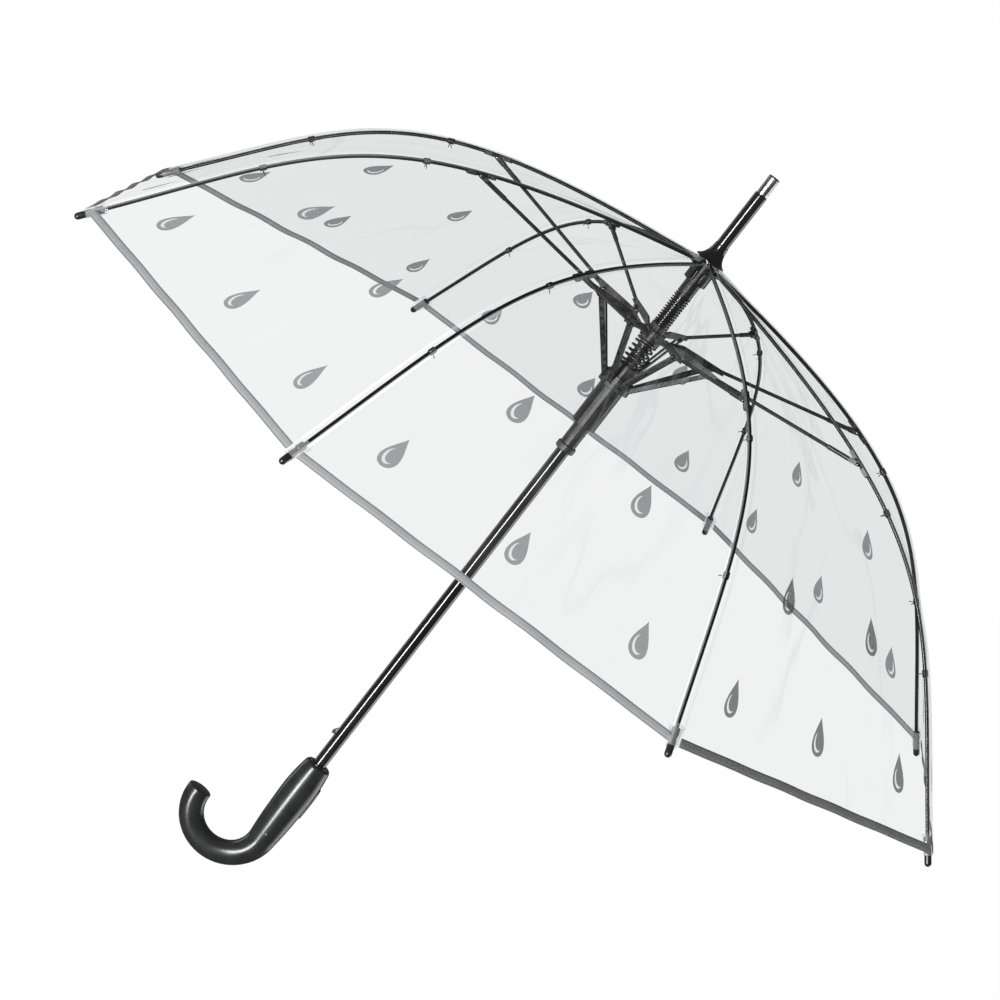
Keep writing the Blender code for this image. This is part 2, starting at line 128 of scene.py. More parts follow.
def cutAway(piece, cutterMesh):
    cutter = bpy.data.objects.new("cutter", cutterMesh)
    bpy.context.scene.collection.objects.link(cutter)
    cut = piece.modifiers.new("cut", "BOOLEAN")
    cut.object = cutter
    bpy.context.view_layer.update()
    solved = bpy.data.meshes.new_from_object(piece.evaluated_get(bpy.context.evaluated_depsgraph_get()))
    piece.modifiers.clear()
    piece.data = solved
    solved.shade_smooth()
    solved.set_sharp_from_angle(angle=radians(35))
    bpy.data.objects.remove(cutter)


# small helpers for shader trees

def put(tree, kind, links=None, **settings):
    node = tree.nodes.new(kind)
    for name, value in settings.items():
        setattr(node, name, value)
    for name, value in (links or {}).items():
        if isinstance(value, bpy.types.NodeSocket):
            tree.links.new(value, node.inputs[name])
        else:
            node.inputs[name].default_value = value
    return node


def sums(tree, how, first, second=0.0, third=0.0, clamp=False):
    links = {0: first, 1: second}
    if how in ("SMOOTH_MIN", "MULTIPLY_ADD", "COMPARE"):
        links[2] = third
    return put(tree, "ShaderNodeMath", links, operation=how, use_clamp=clamp).outputs[0]


def spread(tree, value, fromLow, fromHigh, toLow=0.0, toHigh=1.0, smooth=False):
    links = {"Value": value, "From Min": fromLow, "From Max": fromHigh, "To Min": toLow, "To Max": toHigh}
    kind = "SMOOTHSTEP" if smooth else "LINEAR"
    return put(tree, "ShaderNodeMapRange", links, interpolation_type=kind).outputs["Result"]


def blendColour(tree, factor, first, second):
    def full(value):
        return value if isinstance(value, bpy.types.NodeSocket) else (*value, 1)
    return put(
        tree, "ShaderNodeMix", {0: factor, 6: full(first), 7: full(second)}, data_type="RGBA"
    ).outputs[2]


def startGroup(name, inputs, outputs):
    group = bpy.data.node_groups.new(name, "ShaderNodeTree")
    for label, kind, value in inputs:
        group.interface.new_socket(label, in_out="INPUT", socket_type=kind).default_value = value
    for label in outputs:
        group.interface.new_socket(label, in_out="OUTPUT", socket_type="NodeSocketFloat")
    start = group.nodes.new("NodeGroupInput")
    return group, start.outputs, group.nodes.new("NodeGroupOutput").inputs


def useGroup(tree, group, values):
    node = tree.nodes.new("ShaderNodeGroup")
    node.node_tree = group
    for name, value in values.items():
        if isinstance(value, bpy.types.NodeSocket):
            tree.links.new(value, node.inputs[name])
        else:
            node.inputs[name].default_value = value
    return node.outputs


floatSocket = "NodeSocketFloat"

# fine moulded or lacquered skin: a cloudy tone and a small relief
skinGrain, have, give = startGroup(
    "skin grain", [("Scale", floatSocket, 900.0), ("Stretch", floatSocket, 1.0)], ["Tone", "Relief"])
place = put(skinGrain, "ShaderNodeTexCoord").outputs["Object"]
drawn = put(skinGrain, "ShaderNodeCombineXYZ", {"X": 1.0, "Y": 1.0, "Z": have["Stretch"]}).outputs[0]
place = put(skinGrain, "ShaderNodeVectorMath", {0: place, 1: drawn}, operation="MULTIPLY").outputs[0]
cloud = put(skinGrain, "ShaderNodeTexNoise", {"Vector": place, "Scale": 70.0, "Detail": 3.0}).outputs["Fac"]
pores = put(
    skinGrain, "ShaderNodeTexNoise", {"Vector": place, "Scale": have["Scale"], "Detail": 2.0}
).outputs["Fac"]
skinGrain.links.new(spread(skinGrain, sums(skinGrain, "ADD", cloud, pores), 0.75, 1.25), give["Tone"])
skinGrain.links.new(pores, give["Relief"])

# edges that hands and weather have rubbed, and the dull smudges between them
handlingWear, have, give = startGroup(
    "handling wear", [("Amount", floatSocket, 0.4), ("Smudge Scale", floatSocket, 35.0)], ["Rubbed", "Smudge"])
place = put(handlingWear, "ShaderNodeTexCoord").outputs["Object"]
ridge = put(handlingWear, "ShaderNodeNewGeometry").outputs["Pointiness"]
patch = put(
    handlingWear, "ShaderNodeTexNoise", {"Vector": place, "Scale": 260.0, "Detail": 4.0}
).outputs["Fac"]
rubbed = sums(
    handlingWear, "MULTIPLY", spread(handlingWear, ridge, 0.52, 0.60),
    spread(handlingWear, patch, 0.42, 0.62)
)
handlingWear.links.new(sums(handlingWear, "MULTIPLY", rubbed, have["Amount"], clamp=True), give["Rubbed"])
smudge = put(
    handlingWear, "ShaderNodeTexNoise", {"Vector": place, "Scale": have["Smudge Scale"], "Detail": 2.0}
)
handlingWear.links.new(spread(handlingWear, smudge.outputs["Fac"], 0.45, 0.70), give["Smudge"])

# slack in a stretched plastic film: creases that run from crown to hem, their relief, and cloudy dust
filmSlack, have, give = startGroup(
    "film slack", [("Crease Scale", floatSocket, 11.0), ("Dust Scale", floatSocket, 26.0)],
    ["Crease", "Relief", "Dust"])
flat = put(
    filmSlack, "ShaderNodeSeparateXYZ", {0: put(filmSlack, "ShaderNodeTexCoord").outputs["Object"]}
).outputs
ground = put(filmSlack, "ShaderNodeCombineXYZ", {"X": flat["X"], "Y": flat["Y"]}).outputs[0]
reach = put(filmSlack, "ShaderNodeVectorMath", {0: ground}, operation="LENGTH").outputs["Value"]
spoke = put(filmSlack, "ShaderNodeVectorMath", {0: ground}, operation="NORMALIZE").outputs[0]
spoke = put(filmSlack, "ShaderNodeVectorMath", {0: spoke, "Scale": 0.5}, operation="SCALE").outputs[0]
rise = put(filmSlack, "ShaderNodeCombineXYZ", {"Z": sums(filmSlack, "MULTIPLY", reach, 0.4)}).outputs[0]
place = put(filmSlack, "ShaderNodeVectorMath", {0: spoke, 1: rise}, operation="ADD").outputs[0]
swirl = put(filmSlack, "ShaderNodeTexNoise", {"Vector": place, "Scale": 5.0, "Detail": 1.0}).outputs["Color"]
swirl = put(filmSlack, "ShaderNodeVectorMath", {0: swirl, "Scale": 0.10}, operation="SCALE").outputs[0]
bent = put(filmSlack, "ShaderNodeVectorMath", {0: place, 1: swirl}, operation="ADD").outputs[0]
long = put(filmSlack, "ShaderNodeTexNoise", {
    "Vector": bent, "Scale": have["Crease Scale"], "Detail": 3.0, "Roughness": 0.45}).outputs["Fac"]
line = sums(filmSlack, "ABSOLUTE", sums(filmSlack, "SUBTRACT", long, 0.5))
where = put(filmSlack, "ShaderNodeTexNoise", {"Vector": place, "Scale": 7.0, "Detail": 1.0}).outputs["Fac"]
crease = sums(
    filmSlack, "MULTIPLY", spread(filmSlack, line, 0.0, 0.026, 1.0, 0.0, smooth=True),
    spread(filmSlack, where, 0.48, 0.64)
)
filmSlack.links.new(crease, give["Crease"])
filmSlack.links.new(sums(filmSlack, "MULTIPLY_ADD", crease, 0.25, long), give["Relief"])
dust = put(filmSlack, "ShaderNodeTexNoise", {
    "Vector": place, "Scale": have["Dust Scale"], "Detail": 5.0, "Roughness": 0.6}).outputs["Fac"]
filmSlack.links.new(spread(filmSlack, dust, 0.40, 0.75), give["Dust"])
print("shader groups built")


solidLooks = {
    # colour, lighter tone and rubbed colour; then roughness and its spread, grain scale and stretch,
    # bump, metal, coat and wear
    "lacquered tube": (
        (0.004, 0.004, 0.004), (0.009, 0.009, 0.0095), (0.05, 0.05, 0.05),
        0.17, 0.03, 700, 0.05, 0.008, 0.0, 0.2, 0.35,
    ),
    "glass fibre": (
        (0.003, 0.003, 0.003), (0.007, 0.007, 0.007), (0.03, 0.03, 0.03),
        0.26, 0.08, 1500, 1.0, 0.05, 0.0, 0.0, 0.2,
    ),
    "black moulding": (
        (0.005, 0.005, 0.0055), (0.012, 0.012, 0.013), (0.05, 0.05, 0.05),
        0.26, 0.08, 1100, 1.0, 0.10, 0.0, 0.0, 0.5,
    ),
    "dark moulding": (
        (0.006, 0.006, 0.0063), (0.014, 0.014, 0.0147), (0.07, 0.07, 0.07),
        0.38, 0.10, 1300, 1.0, 0.16, 0.0, 0.0, 0.6,
    ),
    "pressed channel": (
        (0.005, 0.005, 0.0055), (0.013, 0.013, 0.014), (0.08, 0.08, 0.08),
        0.30, 0.09, 900, 0.3, 0.08, 0.0, 0.0, 0.5,
    ),
    "handle skin": (
        (0.008, 0.008, 0.0085), (0.014, 0.0145, 0.015), (0.05, 0.05, 0.052),
        0.27, 0.03, 1700, 1.0, 0.04, 0.0, 0.0, 0.3,
    ),
    "button skin": (
        (0.012, 0.012, 0.013), (0.020, 0.0205, 0.022), (0.08, 0.08, 0.08),
        0.42, 0.06, 1500, 1.0, 0.20, 0.0, 0.0, 0.6,
    ),
    "satin metal": (
        (0.20, 0.20, 0.21), (0.34, 0.34, 0.35), (0.60, 0.60, 0.60),
        0.30, 0.08, 1400, 0.2, 0.06, 1.0, 0.0, 0.6,
    ),
    "spring wire": (
        (0.035, 0.035, 0.037), (0.08, 0.08, 0.083), (0.40, 0.40, 0.40),
        0.32, 0.10, 1600, 1.0, 0.10, 1.0, 0.0, 0.5,
    ),
    "pin steel": (
        (0.05, 0.05, 0.052), (0.10, 0.10, 0.105), (0.70, 0.70, 0.70),
        0.26, 0.08, 1600, 1.0, 0.08, 1.0, 0.0, 0.4,
    ),
}


def solidMaterial(name):
    colour, lighter, rubbed, rough, swing, scale, stretch, bump, metal, coat, wear = solidLooks[name]
    material = bpy.data.materials.new(name)
    material.use_nodes = True
    tree = material.node_tree
    shader = tree.nodes["Principled BSDF"]
    grain = useGroup(tree, skinGrain, {"Scale": scale, "Stretch": stretch})
    worn = useGroup(tree, handlingWear, {"Amount": wear})
    tone = blendColour(tree, grain["Tone"], colour, lighter)
    tree.links.new(blendColour(tree, worn["Rubbed"], tone, rubbed), shader.inputs["Base Color"])
    dull = sums(
        tree, "MULTIPLY_ADD", worn["Smudge"], swing,
        spread(tree, grain["Tone"], 0, 1, rough - swing, rough + swing)
    )
    tree.links.new(dull, shader.inputs["Roughness"])
    relief = put(tree, "ShaderNodeBump", {"Strength": bump, "Distance": 0.0004, "Height": grain["Relief"]})
    tree.links.new(relief.outputs["Normal"], shader.inputs["Normal"])
    shader.inputs["Metallic"].default_value = metal
    shader.inputs["Coat Weight"].default_value = coat
    shader.inputs["Coat Roughness"].default_value = 0.08
    shader.inputs["Specular IOR Level"].default_value = 0.5 if metal else 0.36
    return material


finish = {name: solidMaterial(name) for name in solidLooks}


clearFilm = {
    "straight": (0.888, 0.890, 0.893),  # what passes through when seen straight on
    "glancing": (0.950, 0.952, 0.955),
    "mirrorBase": 0.024,
    "mirrorGlance": 0.12,
    "dustLow": 0.004,
    "dustHigh": 0.020,
    "weldAt": (0.0034, 0.0066),  # a welded band on each side of the rib
    "weldVeil": 0.14,
    "creaseVeil": 0.05,
    "ribTouch": 0.0026,  # film that lies on the rib is wetted to it and hides its own gloss
}


def seeThrough(name, look, weld=False, veil=0.0):
    # a thin clear sheet: passes light, mirrors at a glance, and carries a faint white veil; what passes
    # through is darkened to grey along its creases as painted shade
    material = bpy.data.materials.new(name)
    material.use_nodes = True
    tree = material.node_tree
    mirror = tree.nodes["Principled BSDF"]
    slack = useGroup(tree, filmSlack, {})
    bump = put(
        tree, "ShaderNodeBump", {"Strength": 0.55, "Distance": 0.004, "Height": slack["Relief"]}
    ).outputs[0]
    facing = put(tree, "ShaderNodeLayerWeight", {"Blend": 0.5, "Normal": bump}).outputs["Facing"]
    steep = sums(tree, "POWER", facing, 5.0)
    shade = blendColour(tree, sums(tree, "POWER", facing, 2.0), look["straight"], look["glancing"])
    # painted shade: along the creases the see-through colour is darkened towards grey
    shade = blendColour(tree, sums(tree, "MULTIPLY", slack["Crease"], 0.22), shade, (0.55, 0.56, 0.57))
    passing = put(tree, "ShaderNodeBsdfTransparent", {"Color": shade}).outputs[0]
    mirror.inputs["Base Color"].default_value = (0.96, 0.97, 0.98, 1)
    mirror.inputs["Metallic"].default_value = 1
    tree.links.new(spread(tree, slack["Dust"], 0, 1, 0.03, 0.14), mirror.inputs["Roughness"])
    tree.links.new(bump, mirror.inputs["Normal"])
    share = sums(tree, "MULTIPLY_ADD", steep, look["mirrorGlance"], look["mirrorBase"], clamp=True)
    if weld:
        across = put(
            tree, "ShaderNodeSeparateXYZ", {0: put(tree, "ShaderNodeUVMap", uv_map="filmMap").outputs[0]}
        )
        fromRib = sums(tree, "ABSOLUTE", across.outputs["X"])
        loose = spread(tree, fromRib, look["ribTouch"], look["ribTouch"] + 0.0008, smooth=True)
        share = sums(tree, "MULTIPLY", share, spread(tree, loose, 0, 1, 0.25, 1))
    sheen = put(tree, "ShaderNodeMixShader", {0: share, 1: passing, 2: mirror.outputs[0]}).outputs[0]
    cloudy = spread(tree, slack["Dust"], 0, 1, look["dustLow"] + veil, look["dustHigh"] + veil)
    cloudy = sums(tree, "MULTIPLY_ADD", slack["Crease"], look["creaseVeil"], cloudy)
    white = (0.86, 0.87, 0.88)
    if weld:
        cloudy = sums(tree, "MULTIPLY", cloudy, loose)
        near, far = look["weldAt"]
        band = sums(tree, "MULTIPLY", spread(tree, fromRib, near - 0.0004, near, smooth=True),
                    spread(tree, fromRib, far, far + 0.0004, 1, 0, smooth=True))
        cloudy = sums(tree, "MULTIPLY_ADD", band, look["weldVeil"], cloudy, clamp=True)
        edge = sums(
            tree, "MULTIPLY", spread(tree, fromRib, far, far + 0.0002),
            spread(tree, fromRib, far + 0.0006, far + 0.0010, 1, 0)
        )
        white = blendColour(tree, edge, white, (0.25, 0.25, 0.26))
        cloudy = sums(tree, "MULTIPLY_ADD", edge, 0.16, cloudy, clamp=True)
    body = put(tree, "ShaderNodeBsdfPrincipled", {"Roughness": 0.45, "Normal": bump})
    if isinstance(white, bpy.types.NodeSocket):
        tree.links.new(white, body.inputs["Base Color"])
    else:
        body.inputs["Base Color"].default_value = (*white, 1)
    both = put(tree, "ShaderNodeMixShader", {0: cloudy, 1: sheen, 2: body.outputs[0]}).outputs[0]
    tree.links.new(both, tree.nodes["Material Output"].inputs["Surface"])
    return material


filmFinish = seeThrough("clear film", clearFilm, weld=True)
pocketFinish = seeThrough("clear pocket", clearFilm, veil=0.12)


hemLook = {"tape": (0.15, 0.152, 0.154), "lighter": (0.22, 0.222, 0.225), "edge": (0.08, 0.08, 0.083)}


def hemMaterial():
    material = bpy.data.materials.new("hem tape")
    material.use_nodes = True
    tree = material.node_tree
    shader = tree.nodes["Principled BSDF"]
    where = put(
        tree, "ShaderNodeSeparateXYZ", {0: put(tree, "ShaderNodeUVMap", uv_map="hemMap").outputs[0]}
    ).outputs
    along, across = where["X"], where["Y"]
    threads = put(tree, "ShaderNodeTexNoise", {
        "Vector": put(
            tree, "ShaderNodeCombineXYZ",
            {"X": sums(tree, "MULTIPLY", along, 60.0), "Y": sums(tree, "MULTIPLY", across, 14.0)}
        ).outputs[0],
        "Scale": 9.0, "Detail": 4.0}).outputs["Fac"]
    ribbed = sums(tree, "SINE", sums(tree, "MULTIPLY", along, 2 * pi / 0.0011))
    tone = blendColour(tree, threads, hemLook["tape"], hemLook["lighter"])
    fromMiddle = sums(tree, "ABSOLUTE", sums(tree, "SUBTRACT", across, 0.5))
    edge = sums(
        tree, "MULTIPLY", spread(tree, fromMiddle, 0.33, 0.36, smooth=True),
        spread(tree, fromMiddle, 0.43, 0.46, 1, 0, smooth=True)
    )
    tree.links.new(blendColour(tree, edge, tone, hemLook["edge"]), shader.inputs["Base Color"])
    tree.links.new(spread(tree, threads, 0.3, 0.7, 0.42, 0.62), shader.inputs["Roughness"])
    height = sums(tree, "MULTIPLY_ADD", ribbed, 0.35, sums(tree, "MULTIPLY", edge, -1.0))
    relief = put(tree, "ShaderNodeBump", {"Strength": 0.5, "Distance": 0.0002, "Height": height})
    tree.links.new(relief.outputs[0], shader.inputs["Normal"])
    return material


hemFinish = hemMaterial()


printLook = {"ink": (0.085, 0.087, 0.089), "faded": (0.14, 0.143, 0.146), "cover": 0.84}


def printMaterial():
    material = bpy.data.materials.new("printed drop")
    material.use_nodes = True
    tree = material.node_tree
    shader = tree.nodes["Principled BSDF"]
    spot = put(tree, "ShaderNodeUVMap", uv_map="dropMap").outputs[0]
    rosette = put(
        tree, "ShaderNodeTexNoise",
        {"Vector": put(tree, "ShaderNodeTexCoord").outputs["Object"], "Scale": 900.0}
    ).outputs["Fac"]
    tree.links.new(
        blendColour(tree, rosette, printLook["ink"], printLook["faded"]), shader.inputs["Base Color"]
    )
    tree.links.new(spread(tree, rosette, 0.3, 0.7, 0.45, 0.65), shader.inputs["Roughness"])
    # a crescent of clear film left inside each drop, like a glint on water
    def fromPoint(x, y):
        return put(
            tree, "ShaderNodeVectorMath", {0: spot, 1: (x, y, 0)}, operation="DISTANCE"
        ).outputs["Value"]
    inside = spread(tree, fromPoint(-0.02, 0.30), 0.48, 0.51, 1, 0)
    outside = spread(tree, fromPoint(0.12, 0.20), 0.46, 0.49)
    glint = sums(tree, "MULTIPLY", inside, outside)
    tree.links.new(spread(tree, glint, 0, 1, printLook["cover"], 0.12), shader.inputs["Alpha"])
    return material


printFinish = printMaterial()
print("materials built")


# the canopy: eight gores of film, each half of a gore carried by its nearest rib

filmShape = {
    "curve": ((0.0090, 0.6514), (0.3495, 0.6020), (0.3652, 0.5428), (0.5100, 0.3760)),
    "rows": 72,
    "sideSteps": 14,
    "sag": 0.0040,
    "ripple": 0.0022,
    "flatSize": (0.3903, 0.5943),
    "flatArea": 0.1222,
}


def evenLine(handles, count):
    # points along a curve at equal distances, and its length
    fine = bezierLine(handles, 600)
    far = [0.0]
    for a, b in zip(fine, fine[1:]):
        far.append(far[-1] + hypot(b[0] - a[0], b[1] - a[1]))
    line, k = [], 0
    for i in range(count + 1):
        want = far[-1] * i / count
        while k < len(far) - 2 and far[k + 1] < want:
            k += 1
        share = (want - far[k]) / (far[k + 1] - far[k])
        line.append(
            (
                fine[k][0] + (fine[k + 1][0] - fine[k][0]) * share,
                fine[k][1] + (fine[k + 1][1] - fine[k][1]) * share
            )
        )
    return line, far[-1]


filmLine, filmLength = evenLine(filmShape["curve"], 400)


def filmAt(along):
    place = min(max(along, 0.0), 1.0) * 400
    i = min(int(place), 399)
    (r0, z0), (r1, z1) = filmLine[i], filmLine[i + 1]
    return r0 + (r1 - r0) * (place - i), z0 + (z1 - z0) * (place - i)


def flatFilm(gore, across, along):
    r, z = filmAt(along)
    return around(ribAngle(gore), r, z).lerp(around(ribAngle(gore + 1), r, z), across)


def filmPoint(gore, across, along, lift=0.0):
    # gore is numbered by the rib at its start; across runs from that rib to the next one
    base = flatFilm(gore, across, along)
    low, high = max(along - 0.01, 0.0), min(along + 0.01, 1.0)
    down = flatFilm(gore, across, high) - flatFilm(gore, across, low)
    side = flatFilm(gore, 1, along) - flatFilm(gore, 0, along)
    out = side.cross(down).normalized() * -1
    hang = sin(pi * across)
    turn = (gore - 1) % 8
    wave = noise.noise(Vector((across * 2.6 + turn * 3.7, along * 3.4, turn * 1.9)))
    belly = max(sin(pi * min(along * 1.15, 1.0)), 0) ** 0.7
    deep = -filmShape["sag"] * hang * belly
    deep += filmShape["ripple"] * hang * wave * 1.6 * (1 - along ** 6)
    deep += 0.0011 * hang * cos(6 * pi * across + turn) * exp(-along * 7)
    deep += 0.0009 * hang * sin(10 * pi * across + turn) * exp((along - 1) * 14)
    return base + out * (deep + lift)


def filmNormal(gore, across, along):
    low, high = max(along - 0.006, 0.0), min(along + 0.006, 1.0)
    down = filmPoint(gore, across, high) - filmPoint(gore, across, low)
    side = filmPoint(gore, across + 0.02, along) - filmPoint(gore, across - 0.02, along)
    return (side.cross(down) * -1).normalized()


def foldAway(piece):
    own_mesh(piece)


def setMap(mesh, name, places):
    layer = mesh.uv_layers.new(name=name)
    for loop in mesh.loops:
        layer.data[loop.index].uv = places[loop.vertex_index]


def filmSector(rib):
    rows, steps = filmShape["rows"], filmShape["sideSteps"]
    columns = [(rib - 1, 1 - 0.5 * (i / steps) ** 1.4, -1) for i in range(steps, 0, -1)] + [(rib, 0.0, 0)]
    columns += [(rib, 0.5 * (i / steps) ** 1.4, 1) for i in range(1, steps + 1)]
    points, normals, places, faces = [], [], [], []
    for i in range(rows + 1):
        along = i / rows
        width = 2 * filmAt(along)[0] * sin(pi / 8)
        for gore, across, way in columns:
            points.append(filmPoint(gore, across, along))
            if way:
                normals.append(filmNormal(gore, across, along))
            else:
                normals.append(
                    (filmNormal(rib - 1, 0.985, along) + filmNormal(rib, 0.015, along)).normalized()
                )
            places.append((width * (across if way >= 0 else across - 1), filmLength * (1 - along)))
    wide = len(columns)
    for i in range(rows):
        for j in range(wide - 1):
            a = i * wide + j
            faces.append((a, a + wide, a + wide + 1, a + 1))
    mesh = bpy.data.meshes.new(f"filmSector{rib}")
    mesh.from_pydata(points, [], faces)
    mesh.validate()
    setMap(mesh, "filmMap", places)
    mesh.shade_smooth()
    mesh.normals_split_custom_set_from_vertices(normals)
    return mesh


hemShape = {"width": 0.0085, "thick": 0.0007, "clearOfTip": 0.0065, "steps": 40}


def hemTape(rib):
    # two runs of tape folded over the film's edge, from the tip to the middle of each gore
    shape = bmesh.new()
    layer = shape.loops.layers.uv.new("hemMap")
    chord = 2 * filmAt(1.0)[0] * sin(pi / 8)
    half = hemShape["width"] / filmLength
    clear = hemShape["clearOfTip"] / chord
    for gore, start, stop in ((rib - 1, 0.5, 1 - clear), (rib, clear, 0.5)):
        rings = []
        for i in range(hemShape["steps"] + 1):
            across = start + (stop - start) * i / hemShape["steps"]
            ring = []
            for share, lift in (
                (0.0, 0.5), (0.5, 0.62), (0.93, 0.55), (1.0, 0.0), (0.93, -0.55), (0.5, -0.62), (0.0, -0.5)
            ):
                ring.append(
                    (
                        shape.verts.new(
                            filmPoint(gore, across, 1 - half * (1 - share), lift * hemShape["thick"])
                        ),
                        across * chord, share
                    )
                )
            rings.append(ring)
        for first, second in zip(rings, rings[1:]):
            for i in range(7):
                j = (i + 1) % 7
                corners = (first[i], first[j], second[j], second[i])
                face = shape.faces.new([c[0] for c in corners])
                for loop, corner in zip(face.loops, corners):
                    loop[layer].uv = (corner[1], corner[2])
        for ring in (rings[0], rings[-1]):
            shape.faces.new([c[0] for c in ring])
    bmesh.ops.recalc_face_normals(shape, faces=shape.faces)
    mesh = bpy.data.meshes.new(f"hemTape{rib}")
    shape.to_mesh(mesh)
    shape.free()
    mesh.shade_smooth()
    mesh.set_sharp_from_angle(angle=radians(50))
    return mesh


dropShape = {
    "tall": 0.0360,
    "wide": 0.0225,
    # share of the gore's width, and distance from the hem
    "places": ((0.147, 0.060), (0.5, 0.060), (0.845, 0.060), (0.285, 0.170), (0.700, 0.170)),
}


def dropPrints(rib):
    spots = [(rib, a, far) for a, far in dropShape["places"] if a <= 0.5]
    spots += [(rib - 1, a, far) for a, far in dropShape["places"] if a > 0.5]
    points, faces, places = [], [], []
    for gore, across, fromHem in spots:
        first, count, levels = len(points), 32, 4
        for level in range(levels, -1, -1):
            size = level / levels
            for i in range(count if level else 1):
                a = 2 * pi * i / count
                # a drop: round below, drawn to a point above
                x = sin(a) * sin(a / 2) ** 1.6 * size * 1.12
                y = -cos(a) * size
                y = (y if level else 0.0) - 0.18 * (1 - size)
                along = 1 - (fromHem - y * 0.5 * dropShape["tall"]) / filmLength
                width = 2 * filmAt(along)[0] * sin(pi / 8)
                points.append(filmPoint(gore, across + x * 0.5 * dropShape["wide"] / width, along, 0.00035))
                places.append((x, y))
        for level in range(levels):
            for i in range(count):
                a, b = first + level * count + i, first + level * count + (i + 1) % count
                if level < levels - 1:
                    faces.append((a, b, b + count, a + count))
                else:
                    faces.append((a, b, first + levels * count))
    mesh = bpy.data.meshes.new(f"dropPrints{rib}")
    mesh.from_pydata(points, [], faces)
    mesh.validate()
    setMap(mesh, "dropMap", places)
    mesh.shade_smooth()
    return mesh


for rib in ribNumbers:
    body = f"rib_arm_{rib}"
    film = addPiece(f"film_{rib}", filmSector(rib), filmFinish, body)
    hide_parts(f"canopy_panel_{rib}")
    tape = addPiece(f"hem_tape_{rib}", hemTape(rib), hemFinish, body)
    drops = addPiece(f"drop_prints_{rib}", dropPrints(rib), printFinish, body)
    for piece in (film, tape, drops):
        foldAway(piece)
    if rib == 1:
        print(
            "film sector area", round(sum(face.area for face in film.data.polygons), 4), "m2, length",
            round(filmLength, 4)
        )
print("canopy built")


# the ribs, their tips, ties and pockets

ribShape = {
    "curve": ((0.0180, 0.6466), (0.3476, 0.5985), (0.3612, 0.5390), (0.5064, 0.3728)),
    "pivot": (0.0095, 0.6330),
    "radius": 0.0018,
    "tipRadius": 0.0032,
    "tipProud": 0.0098,
    "tiesAt": (0.2805, 0.4003),
}
ribLine = evenLine(ribShape["curve"], 90)[0]


def alongRib(angle, line):
    return [around(angle, r, z) for r, z in line]


def ribBar(rib):
    r, z = ribShape["pivot"]
    drop = [
        (r, z - ribShape["radius"]), (r + 0.0001, z + 0.0035), (r + 0.0005, z + 0.0070),
        (r + 0.0015, z + 0.0098), (r + 0.0040, z + 0.0122),
    ]
    path = alongRib(ribAngle(rib), drop + ribLine)
    sideways = around(ribAngle(rib), 0, 0, 1)
    return sweptMesh(f"ribBar{rib}", path, [ribShape["radius"]] * len(path), sideways, 14, 50)


def onAxis(mesh, start, ahead):
    # stands a turned mesh, drawn up the Z axis, at start and along ahead
    turn = Vector((0, 0, 1)).rotation_difference(ahead).to_matrix().to_4x4()
    mesh.transform(Matrix.Translation(start) @ turn)
    return mesh


def tipCap(rib):
    bore, radius, proud = ribShape["radius"] + 0.0003, ribShape["tipRadius"], ribShape["tipProud"]
    outline = [
        (bore, -0.0170), (radius + 0.0001, -0.0170), (radius + 0.0003, -0.0168), (radius + 0.0003, -0.0103),
        (radius + 0.0001, -0.0101), (radius - 0.0003, -0.0097), (radius - 0.0003, -0.0060), (radius, -0.0055),
    ]
    outline += [
        (radius * cos(a), proud - radius + radius * sin(a)) for a in (pi / 2 * i / 10 for i in range(10))
    ]
    outline += [(0, proud), (0, 0.0003), (bore, 0.0003)]
    angle = ribAngle(rib)
    end = around(angle, *ribShape["curve"][3])
    return onAxis(
        turnedMesh(f"tipCap{rib}", outline, 40, 40, looped=True), end,
        end - around(angle, *ribShape["curve"][2])
    )


def ribTies(rib):
    # a small sleeve with a knotted thread at two places on the rib
    shape = bmesh.new()
    angle = ribAngle(rib)
    for wanted in ribShape["tiesAt"]:
        k = min(range(1, 90), key=lambda i: abs(ribLine[i][0] - wanted))
        here = around(angle, *ribLine[k])
        ahead = around(angle, *ribLine[k + 1]) - around(angle, *ribLine[k - 1])
        inner = ribShape["radius"] + 0.0001
        outline = [(inner, -0.0034), (inner + 0.0005, -0.0032)]
        for i in range(25):
            share = i / 24
            outline.append((inner + 0.0008 + 0.00022 * sin(share * 8 * pi), -0.0028 + 0.0056 * share))
        outline += [(inner + 0.0005, 0.0032), (inner, 0.0034)]
        part = onAxis(turnedMesh("tie", outline, 28, 60, looped=True), here, ahead)
        shape.from_mesh(part)
        bpy.data.meshes.remove(part)
        bow = around(angle, 0, 0, 1)
        under = bow.cross(ahead).normalized() * -1
        if under.z > 0:
            under *= -1
        for side in (-1, 1):
            path = [
                here + under * (0.0022 + 0.0040 * s) + bow * side * 0.0035 * s ** 0.6
                for s in (i / 10 for i in range(11))
            ]
            part = sweptMesh("thread", path, [0.0004] * 11, ahead.normalized(), 6)
            shape.from_mesh(part)
            bpy.data.meshes.remove(part)
    mesh = bpy.data.meshes.new(f"ribTies{rib}")
    shape.to_mesh(mesh)
    shape.free()
    mesh.shade_smooth()
    return mesh


def tipPocket(rib):
    # the clear sleeve welded to the film's corner that the tip slips into
    angle = ribAngle(rib)
    end = around(angle, *ribShape["curve"][3])
    ahead = (end - around(angle, *ribShape["curve"][2])).normalized()
    bow = around(angle, 0, 0, 1)
    rise = bow.cross(ahead).normalized()
    rings = []
    for i in range(13):
        share = i / 12
        wide = 0.0052 + 0.0022 * (1 - share) ** 2
        tall = 0.0041 + 0.0003 * (1 - share)
        centre = end + ahead * (-0.0200 + 0.0200 * share)
        rings.append(
            [
                centre + bow * wide * cos(a) + rise * tall * sin(a)
                for a in (2 * pi * j / 28 for j in range(28))
            ]
        )
    return ringMesh(f"tipPocket{rib}", rings, capped=False)


